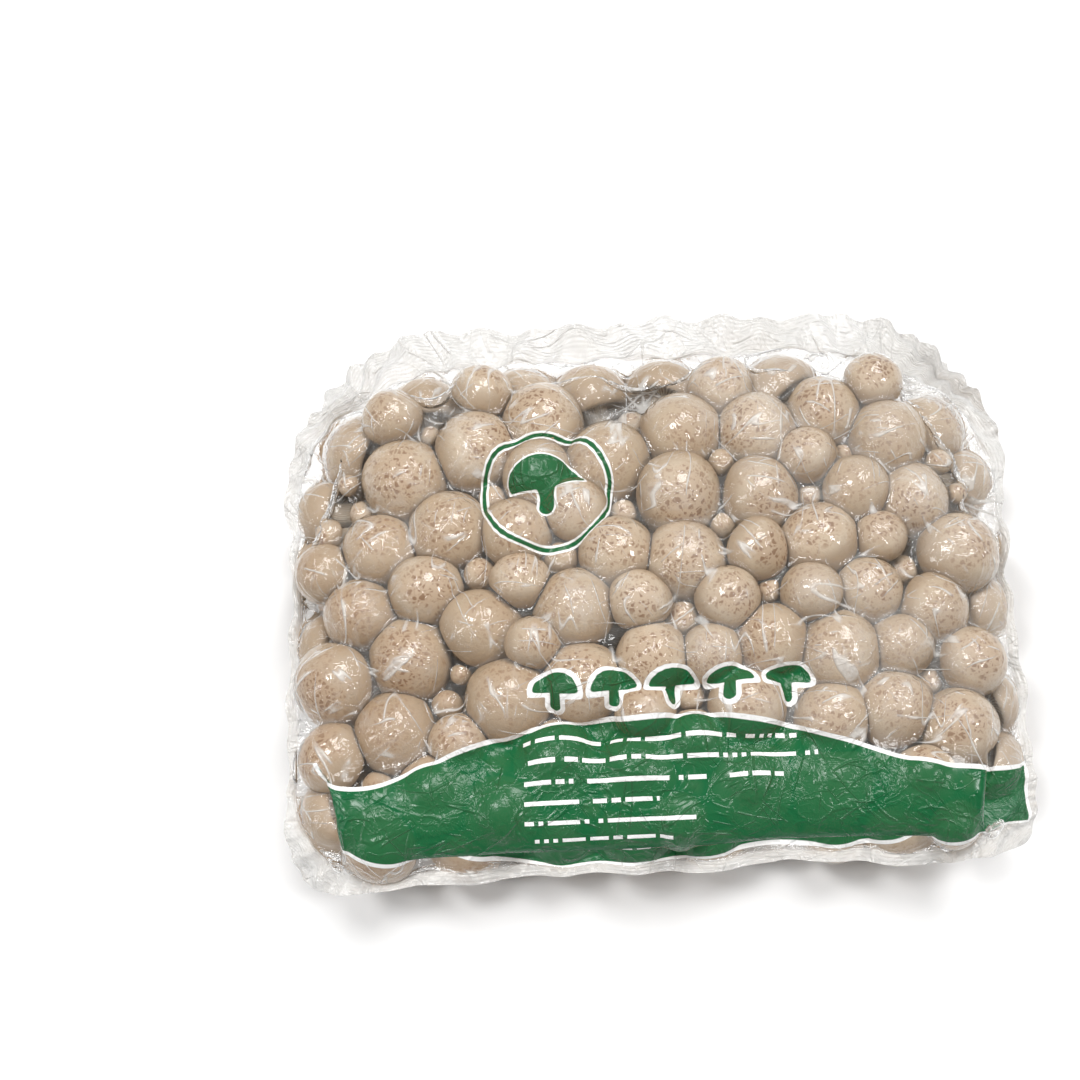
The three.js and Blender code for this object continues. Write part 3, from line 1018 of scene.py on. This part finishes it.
def mapped(place, **sockets):
    """A place turned or stretched by a Mapping node, whose sockets are named."""
    return output_of(place.tree, "ShaderNodeMapping", 0, {"Vector": place, **sockets})


def bump(shader, relief, strength, distance):
    """Gives a shader a relief, and returns the normal for a second one."""
    sockets = {"Height": relief, "Strength": strength, "Distance": distance}
    normal = output_of(relief.tree, "ShaderNodeBump", 0, sockets)
    fill(shader.inputs["Normal"], normal)
    return normal


def finish_named(name):
    material = bpy.data.materials.new(name)
    material.use_nodes = True
    tree = material.node_tree
    return material, tree, tree.nodes["Principled BSDF"]


def group_named(name, inputs=(), **outputs):
    """A node group with float inputs; its outputs are given as title=kind of socket."""
    tree = bpy.data.node_groups.new(name, "ShaderNodeTree")
    for title in inputs:
        tree.interface.new_socket(title, in_out="INPUT", socket_type="NodeSocketFloat")
    for title, kind in outputs.items():
        tree.interface.new_socket(title, in_out="OUTPUT", socket_type="NodeSocket" + kind)
    return tree, tree.nodes.new("NodeGroupOutput")


print("helpers ready:", ", ".join(f.__name__ for f in (calc, ramp, blend, noise_at, bump)))

# %% [markdown]
# A brown beech mushroom's cap is a warm grey beige. Its crown is mottled: the skin's
# darker brown layer has broken into small islands with pale lines between, dense in the
# middle and gone before the rim. Warped Voronoi cells give the islands, noise breaks
# them up, and the unit place that each cap point kept says how far from the crown it is.
# Towards the near left corner the caps are painted browner, as shade where less light
# falls, and every cap's rim is painted darker, as the shade where caps meet.

# %% Cap skin
CAP_BEIGE = (0.435, 0.335, 0.228, 1)
CAP_PALE = (0.56, 0.455, 0.335, 1)
# Painted shade: the darker colour at every cap's rim, where the caps meet.
CAP_RIM_SHADE = (0.38, 0.28, 0.185, 1)
CAP_BROWN = (0.215, 0.108, 0.046, 1)
CAP_RUST = (0.38, 0.225, 0.115, 1)
# Painted shade: the colour that caps take towards the near left corner, where less light
# falls.
CAP_CORNER_SHADE = (0.29, 0.19, 0.11, 1)
CORNER_SHADE_WAY, CORNER_SHADE_FROM, CORNER_SHADE_TO, CORNER_SHADE_SHARE = (-1, -0.7, 0), 0.03, 0.15, 0.55
ISLANDS, SPECKS, CLOUDS, WARP, PORES = 430, 450, 160, 420, 1500
WARP_REACH = 0.0032
STAINED, MOTTLED = 0.40, 0.92


def cap_skin():
    material, tree, skin = finish_named("cap_skin")
    where = output_of(tree, "ShaderNodeTexCoord", "Object")
    tone = attribute(tree, "tone")
    level = vector_calc("MULTIPLY", attribute(tree, "place", "Vector"), (1, 1, 0))
    rim = vector_calc("LENGTH", level, output="Value")
    cloud = noise_at(where, CLOUDS, detail=3)
    nudge = vector_calc("MULTIPLY", noise_at(where, WARP, output="Color"), (WARP_REACH,) * 3)
    cells = output_of(
        tree, "ShaderNodeTexVoronoi", "Distance",
        {"Vector": vector_calc("ADD", where, nudge), "Scale": ISLANDS},
        feature="DISTANCE_TO_EDGE",
    )
    islands = ramp(cells, 0.06, 0.22)
    ragged = rim + (cloud * 0.9 - 0.45)
    crown = ramp(ragged, 0.38, 1.0, 1.0, 0.0) * ramp(tone, 0.0, 0.5, 0.55, 1.0)
    dots = ramp(noise_at(where, SPECKS, detail=3), 0.43, 0.53)
    corner = vector_calc("DOT_PRODUCT", where, CORNER_SHADE_WAY, output="Value")
    colour = blend(tone, CAP_BEIGE, CAP_PALE)
    # Painted shade: caps towards the near left corner turn browner, where less light falls.
    colour = blend(ramp(corner, CORNER_SHADE_FROM, CORNER_SHADE_TO, 0.0, CORNER_SHADE_SHARE), colour, CAP_CORNER_SHADE)
    # Painted shade: every cap's rim turns darker, as the shade where the caps meet.
    colour = blend(ramp(rim, 0.72, 1.0), colour, CAP_RIM_SHADE)
    colour = blend(crown * STAINED, colour, CAP_RUST)
    colour = blend(islands * dots * crown * MOTTLED, colour, CAP_BROWN)
    fill(skin.inputs["Base Color"], colour)
    fill(skin.inputs["Roughness"], ramp(cloud, 0.3, 0.7, 0.5, 0.64))
    bump(skin, islands * 0.35 + noise_at(where, PORES, detail=3), 0.35, 0.00025)
    return material


CAP_SKIN = cap_skin()
print("finish:", CAP_SKIN.name)

# %% [markdown]
# Gills are thin blades from stem to rim, so their relief is a fine wave that runs round
# the axis. The same wave also paints shade into the gills' colour, darker between the
# blades. Stems are creamy and faintly fibrous along their length. Both share one
# fibre group, which reads the unit place that each point kept.

# %% Gills, and the flesh of stems and roots
GILL_COUNT = 46
GILL_CREAM = (0.52, 0.43, 0.32, 1)
# Painted shade: the gills' colour in the grooves between the blades.
GILL_PAINTED_SHADE = (0.25, 0.18, 0.12, 1)
FLESH_CREAM = (0.56, 0.48, 0.37, 1)
FLESH_TAN = (0.34, 0.25, 0.17, 1)
STRAND_SCALE = (6, 6, 1.2)


def fibres_group():
    tree, out = group_named("mushroom fibres", Blades="Float", Strands="Float")
    place = attribute(tree, "place", "Vector")
    parts = node(tree, "ShaderNodeSeparateXYZ", {0: place}).outputs
    angle = calc("ARCTAN2", Signal(tree, parts["Y"]), Signal(tree, parts["X"]))
    fill(out.inputs["Blades"], calc("SINE", angle * float(GILL_COUNT)) * 0.5 + 0.5)
    strands = noise_at(vector_calc("MULTIPLY", place, STRAND_SCALE), 2.2, detail=4)
    fill(out.inputs["Strands"], strands)
    return tree


FIBRES = fibres_group()


def fleshy(name, output, low, high, depth):
    material, tree, flesh = finish_named(name)
    blade_shade_and_strands = ramp(output_of(tree, "ShaderNodeGroup", output, node_tree=FIBRES), 0.25, 0.75)
    # For the gills this colour step is painted shade between the blades; for stems it is the
    # strands' own tone.
    fill(flesh.inputs["Base Color"], blend(blade_shade_and_strands, low, high))
    fill(flesh.inputs["Roughness"], ramp(blade_shade_and_strands, 0, 1, 0.7, 0.55))
    bump(flesh, blade_shade_and_strands, 0.6, depth)
    return material


# Painted shade: the gills are coloured darker between their blades.
GILLS_FINISH = fleshy("gills", "Blades", GILL_PAINTED_SHADE, GILL_CREAM, 0.0005)
FLESH_FINISH = fleshy("stem_flesh", "Strands", FLESH_TAN, FLESH_CREAM, 0.0004)
for piece in pieces:
    for finish in (CAP_SKIN, GILLS_FINISH, FLESH_FINISH):
        piece.data.materials.append(finish)
print("finishes:", [m.name for m in pieces[0].data.materials])

# %% [markdown]
# Clear film shows itself by three things: bright glints, fine creases that catch them,
# and a milky bloom where it is folded, doubled or sealed. The creases are ridged noise,
# which is noise folded about its middle value so that it makes thin sharp lines. Noise
# that is squeezed along one direction gives long straight streaks, and four directions
# of them look like film that was crumpled once. The bloom also paints light: the streaks
# are painted pale as highlights, the creases partly as whitened film and partly as
# painted highlights, and a painted light makes the film paler towards its right, where
# the light falls. The group reads the flat film's own map, so the creases belong to the
# film and stay on it.

# %% Creases, bloom and painted highlights of the film
STREAK_ANGLES = (12, 58, 97, 150)
STREAK_SQUEEZE, STREAK_SCALE, STREAK_WIDTH = 0.22, 95, 0.022
GATE_TURN, GATE_SQUEEZE, GATE_SCALE = 40, 0.8, 62
SEAL_RIBS = 4.2
MILK_AND_PAINTED_LIGHT_MOST = 0.7
# Painted light: how much paler the film is painted towards its right, where the key light
# falls.
PAINTED_LIGHT_RIGHTWARD, PAINTED_LIGHT_FROM, PAINTED_LIGHT_TO, PAINTED_LIGHT_HAZE = 1.6, 0.66, 1.0, 0.13


def film_place(tree):
    """The flat film's map, in metres."""
    uv = output_of(tree, "ShaderNodeUVMap", 0, uv_map="film")
    return mapped(uv, Scale=(*flat_size, 1))


def along(place, angle, squeeze):
    """The same place turned and squeezed, so that a pattern runs long in one direction."""
    return mapped(mapped(place, Rotation=(0, 0, math.radians(angle))), Scale=(squeeze, 1, 1))


def ridges(place, scale, width, detail, distortion):
    return ramp(abs(noise_at(place, scale, detail, distortion) - 0.5), 0.0, width, 1.0, 0.0)


def streaks_of(place):
    """Long thin lines in a few directions, each kept only in patches of its own."""
    streaks = 0.0
    for angle in STREAK_ANGLES:
        lines = ridges(along(place, angle, STREAK_SQUEEZE), STREAK_SCALE, STREAK_WIDTH, 1, 0.3)
        gate = noise_at(along(place, angle + GATE_TURN, GATE_SQUEEZE), GATE_SCALE)
        streaks = calc("MAXIMUM", streaks, lines * ramp(gate, 0.52, 0.62))
    return streaks


def creases_group():
    tree, out = group_named("film creases", Relief="Float", Bloom="Float")
    place = film_place(tree)
    long = ridges(place, 34, 0.05, 2, 1.4)
    fine = ridges(place, 120, 0.07, 3, 0.8)
    finest = ridges(place, 330, 0.10, 2, 0.5)
    streaks = streaks_of(place)
    patches = noise_at(place, 28)
    busy = ramp(patches, 0.38, 0.62)
    past = attribute(tree, "past")
    sealed = ramp(past, -1.5, 1.5)
    ribs = calc("SINE", past * SEAL_RIBS) * sealed
    relief = long * 0.8 + fine * 0.45 + finest * busy * 0.22 + streaks * 1.4 + ribs * 0.25
    # Painted light: the film is painted milkier towards its right, where the key light falls.
    rightward = Signal(tree, node(tree, "ShaderNodeSeparateXYZ", {0: place}).outputs["X"])
    painted_light_haze = ramp(rightward * PAINTED_LIGHT_RIGHTWARD + patches, PAINTED_LIGHT_FROM, PAINTED_LIGHT_TO)
    # Painted highlights: the streaks are painted pale, and the crease lines partly so, beside
    # the film's real milky bloom.
    milk_and_painted_light = long * busy * 0.10 + 0.02 + attribute(tree, "fold") * 0.15
    milk_and_painted_light = milk_and_painted_light + sealed * 0.42 + fine * busy * 0.08
    milk_and_painted_light = milk_and_painted_light + attribute(tree, "span") * busy * 0.08 + streaks * 0.66 + painted_light_haze * PAINTED_LIGHT_HAZE
    fill(out.inputs["Relief"], relief)
    fill(out.inputs["Bloom"], calc("MINIMUM", milk_and_painted_light, MILK_AND_PAINTED_LIGHT_MOST))
    return tree


CREASES = creases_group()
print("group:", CREASES.name)

# %% [markdown]
# The pouch is printed before it is filled, so the print lies in the flat film's own
# measure and bends with it. It is built from distances: a shape is wherever its distance
# is below nothing, and a white edge round it is the same shape a little larger. A single
# sign, a plain mushroom, is a group of its own, because the badge and the row of signs
# both use it. Short white bars stand for the small print.

# %% A mushroom sign
def sign_group():
    """How far a point is outside a mushroom sign, whose cap is one unit in radius."""
    tree, out = group_named("mushroom sign", ("X", "Y"), Distance="Float")
    given = tree.nodes.new("NodeGroupInput").outputs
    x, y = Signal(tree, given["X"]), Signal(tree, given["Y"])
    dome = length_of(x, y / 0.82) - 1.0
    cap = calc("SMOOTH_MAX", dome, -y, 0.22)
    nearest = calc("MAXIMUM", calc("MINIMUM", y, -0.05), -0.55)
    stem = length_of(x, y - nearest) - 0.23
    fill(out.inputs[0], calc("SMOOTH_MIN", cap, stem, 0.1))
    return tree


SIGN = sign_group()
print("sign:", len(SIGN.nodes), "nodes")

# %% [markdown]
# Each printed shape has a distance of its own, in metres of flat film: the wavy band, the
# badge in its ring, the row of signs. The smallest of them is the whole print's.

# %% Distances to the printed shapes
INK_GREEN = (0.007, 0.118, 0.038, 1)
INK_WHITE = (0.90, 0.90, 0.89, 1)
BAND_START, BAND_END = -0.1235, 0.148
BAND_TOP = ((0, 0.81), (0.045, 0.68), (0.14, 0.77), (0.27, 0.91), (0.44, 0.96),
            (0.58, 0.93), (0.70, 0.79), (0.84, 0.64), (0.95, 0.63), (1, 0.68))
BAND_LOW = ((0, 0.40), (0.12, 0.26), (0.26, 0.09), (0.40, 0.05), (0.58, 0.11),
            (0.71, 0.10), (0.85, 0.27), (1, 0.22))
BAND_FLOOR, BAND_SPAN = -0.118, 0.070
BADGE_X, BADGE_Y, BADGE_SIZE = -0.0365, 0.039, 0.0140
RING_RADIUS, RING_WIDTH = 0.0235, 0.0007
ROW_X, ROW_Y, ROW_SIZE, ROW_PITCH, ROW_SIGNS = 0.005, -0.0395, 0.0083, 0.0206, 5
BARS_X, BARS_Y, BARS_PITCH, BARS_THICK = -0.0485, -0.0545, 0.0070, 0.11
BARS_LONG, BARS_SHORT, BARS_RAGGED = 0.106, 0.060, 0.016
BARS_LONG_ROWS, BARS_ROWS = 3, 7
DASH, DASH_GAPS = 0.0016, 0.28
EDGE_WHITE, EDGE_THIN, EDGE_SOFT = 0.0017, 0.0008, 0.00015


def below(distance):
    """1 where a distance is below nothing, with a thin soft edge."""
    return ramp(distance, -EDGE_SOFT, EDGE_SOFT, 1.0, 0.0)


def least(first, *others):
    for other in others:
        first = calc("MINIMUM", first, other)
    return first


def most(first, *others):
    for other in others:
        first = calc("MAXIMUM", first, other)
    return first


def sign_distance(x, y, size):
    sockets = {"X": x / size, "Y": y / size}
    return output_of(x.tree, "ShaderNodeGroup", 0, sockets, node_tree=SIGN) * size


def edge_curve(share, points):
    """A smooth line across the print, as a height in the flat film."""
    made = node(share.tree, "ShaderNodeFloatCurve", {"Value": share})
    curve = made.mapping.curves[0]
    curve.points[0].location = points[0]
    curve.points[1].location = points[-1]
    for point in points[1:-1]:
        curve.points.new(*point)
    made.mapping.update()
    return Signal(share.tree, made.outputs[0]) * BAND_SPAN + BAND_FLOOR


def band_distance(x, y):
    span = BAND_END - BAND_START
    share = calc("DIVIDE", x - BAND_START, span, clamp=True)
    over = y - edge_curve(share, BAND_TOP)
    under = edge_curve(share, BAND_LOW) - y
    ends = abs(x - (BAND_START + BAND_END) / 2) - span / 2
    return most(over, under, ends)


def badge_distance(x, y):
    x, y = x - BADGE_X, y - BADGE_Y
    ring = abs(length_of(x, y) - RING_RADIUS) - RING_WIDTH
    return least(sign_distance(x, y, BADGE_SIZE), ring)


def row_distance(x, y):
    half = ROW_PITCH * ROW_SIGNS / 2
    local = calc("FLOORED_MODULO", x - (ROW_X - half), ROW_PITCH) - ROW_PITCH / 2
    outside = abs(x - ROW_X) - (half - EDGE_WHITE)
    return most(sign_distance(local, y - ROW_Y, ROW_SIZE), outside)


def bars_cover(x, y):
    """Rows of thin white dashes, which run together into bars of uneven length."""
    rows = (BARS_Y - y) / BARS_PITCH
    row = calc("FLOOR", rows)
    start = x - BARS_X
    spot = node(x.tree, "ShaderNodeCombineXYZ", {"X": calc("FLOOR", start / DASH), "Y": row})
    chance = output_of(
        x.tree, "ShaderNodeTexWhiteNoise", "Value",
        {"Vector": Signal(x.tree, spot.outputs[0])}, noise_dimensions="2D",
    )
    uneven = output_of(
        x.tree, "ShaderNodeTexWhiteNoise", "Value", {"W": row}, noise_dimensions="1D"
    )
    is_short = calc("GREATER_THAN", row, BARS_LONG_ROWS - 0.5)
    length = is_short * (BARS_SHORT - BARS_LONG) + BARS_LONG - uneven * BARS_RAGGED
    within = calc("GREATER_THAN", start, 0.0) * calc("LESS_THAN", start, length)
    thin = calc("LESS_THAN", abs(calc("FRACT", rows) - 0.5), BARS_THICK)
    listed = calc("LESS_THAN", abs(rows - BARS_ROWS / 2), BARS_ROWS / 2)
    return thin * within * listed * calc("GREATER_THAN", chance, DASH_GAPS)


print("band:", round(BAND_END - BAND_START, 3), "m long; signs in the row:", ROW_SIGNS)

# %% The whole print
def print_group():
    tree, out = group_named("pouch print", Ink="Color", Cover="Float")
    parts = node(tree, "ShaderNodeSeparateXYZ", {0: film_place(tree)}).outputs
    x = Signal(tree, parts["X"]) - flat_size[0] / 2
    y = Signal(tree, parts["Y"]) - FLAT_NEAR * MM
    band, badge, row = band_distance(x, y), badge_distance(x, y), row_distance(x, y)
    green = below(least(band, badge, row))
    white = below(least(least(band, row) - EDGE_WHITE, badge - EDGE_THIN))
    ink = blend(green, INK_WHITE, INK_GREEN)
    ink = blend(bars_cover(x, y) * below(band), ink, INK_WHITE)
    fill(out.inputs["Ink"], ink)
    fill(out.inputs["Cover"], most(white, green))
    return tree


PRINT = print_group()
print("groups:", [g.name for g in bpy.data.node_groups])

# %% [markdown]
# The film's finish lays three things over each other. Clear film lets everything through
# and mirrors a little, more at a glancing view, so it is a transparent shader mixed with
# a mirror by Fresnel. Bloom and ink are solid stuff on that film, so they are one
# ordinary surface, shown where the bloom or the ink says; the bloom also carries painted
# highlights along the creases and a painted light towards the film's right. All this is
# for the eye that looks on the film. Light on its way to the mushrooms meets clear film
# only, which keeps their shadows soft and the picture clean.

# %% The film's finish
FILM_MILK = (0.68, 0.665, 0.64, 1)
FILM_SOLID = {"Roughness": 0.22, "Specular IOR Level": 0.3}
FILM_GLOSS, FILM_IOR = 0.07, 1.5
FILM_RELIEF, FILM_RELIEF_DEPTH = 0.6, 0.0006
INK_COVER = 0.96


def mixed(share, first, second):
    """The first shader, or the second where share is 1."""
    return output_of(share.tree, "ShaderNodeMixShader", 0, {0: share, 1: first, 2: second})


def film_finish(name, print_tree=None):
    material, tree, solid = finish_named(name)
    creases = node(tree, "ShaderNodeGroup", node_tree=CREASES).outputs
    normal = bump(solid, Signal(tree, creases["Relief"]), FILM_RELIEF, FILM_RELIEF_DEPTH)
    for title, value in FILM_SOLID.items():
        solid.inputs[title].default_value = value
    # The cover carries the film's milky bloom and also its painted highlights and painted
    # light.
    cover = Signal(tree, creases["Bloom"])
    if print_tree is None:
        solid.inputs["Base Color"].default_value = FILM_MILK
    else:
        ink = node(tree, "ShaderNodeGroup", node_tree=print_tree).outputs
        share = Signal(tree, ink["Cover"])
        fill(solid.inputs["Base Color"], blend(share, FILM_MILK, Signal(tree, ink["Ink"])))
        cover = most(cover, share * INK_COVER)
    clear = output_of(tree, "ShaderNodeBsdfTransparent", 0)
    mirror = {"Color": (1, 1, 1, 1), "Roughness": FILM_GLOSS, "Normal": normal}
    gloss = output_of(tree, "ShaderNodeBsdfAnisotropic", 0, mirror)
    edge = output_of(tree, "ShaderNodeFresnel", 0, {"IOR": FILM_IOR, "Normal": normal})
    film = mixed(cover, mixed(edge, clear, gloss), Signal(tree, solid.outputs[0]))
    seen = output_of(tree, "ShaderNodeLightPath", "Is Camera Ray")
    surface = next(n for n in tree.nodes if n.type == "OUTPUT_MATERIAL")
    fill(surface.inputs["Surface"], mixed(seen, clear, film))
    return material


film_back.data.materials.append(film_finish("clear_film"))
film_front.data.materials.append(film_finish("printed_film", PRINT))
print("film finishes:", film_front.data.materials[0].name, film_back.data.materials[0].name)

# %% [markdown]
# The pack lies on a plain pale surface in a soft studio. A broad soft key light gives the
# caps their form. It is a sun lamp with a wide disc, so the floor is lit evenly however
# far one looks. Three small lamps give the film its glints, and a pale surround fills the
# shadows. The view transform is the plain one, which keeps a white ground white.

# %% Floor and lights
FLOOR_SIZE, FLOOR_PALE, FLOOR_ROUGH = 6, (0.86, 0.86, 0.86, 1), 0.7


def floor():
    bm = bmesh.new()
    bmesh.ops.create_grid(bm, x_segments=1, y_segments=1, size=FLOOR_SIZE)
    mesh = bpy.data.meshes.new("floor")
    bm.to_mesh(mesh)
    bm.free()
    sheet = bpy.data.objects.new("floor", mesh)
    material, _, paint = finish_named("pale_floor")
    paint.inputs["Base Color"].default_value = FLOOR_PALE
    paint.inputs["Roughness"].default_value = FLOOR_ROUGH
    mesh.materials.append(material)
    bpy.context.scene.collection.objects.link(sheet)


def lamp(name, kind, place, power, **settings):
    data = bpy.data.lights.new(name, kind)
    data.energy = power
    for key, value in settings.items():
        setattr(data, key, value)
    made = bpy.data.objects.new(name, data)
    made.location = place
    made.rotation_euler = Vector(place).to_track_quat("Z", "Y").to_euler()
    bpy.context.scene.collection.objects.link(made)


def surround(light, seen):
    """An even surround that lights softly and looks pale where the camera sees it."""
    world = bpy.data.worlds.new("studio")
    world.use_nodes = True
    rays = output_of(world.node_tree, "ShaderNodeLightPath", "Is Camera Ray")
    back = world.node_tree.nodes["Background"]
    back.inputs["Color"].default_value = (1, 1, 1, 1)
    fill(back.inputs["Strength"], rays * (seen - light) + light)
    bpy.context.scene.world = world


floor()
lamp("key_light", "SUN", (0.30, 0.60, 1.1), 1.9, angle=math.radians(28))
lamp("window_lamp", "AREA", (-0.40, 0.15, 1.1), 5.5, size=0.30)
lamp("left_strip", "AREA", (-1.0, -0.3, 0.6), 2.5, shape="RECTANGLE", size=0.12, size_y=0.9)
lamp("right_lamp", "AREA", (0.8, -0.15, 0.9), 3.2, size=0.20)
surround(0.26, 0.85)
bpy.context.scene.view_settings.view_transform = "Standard"
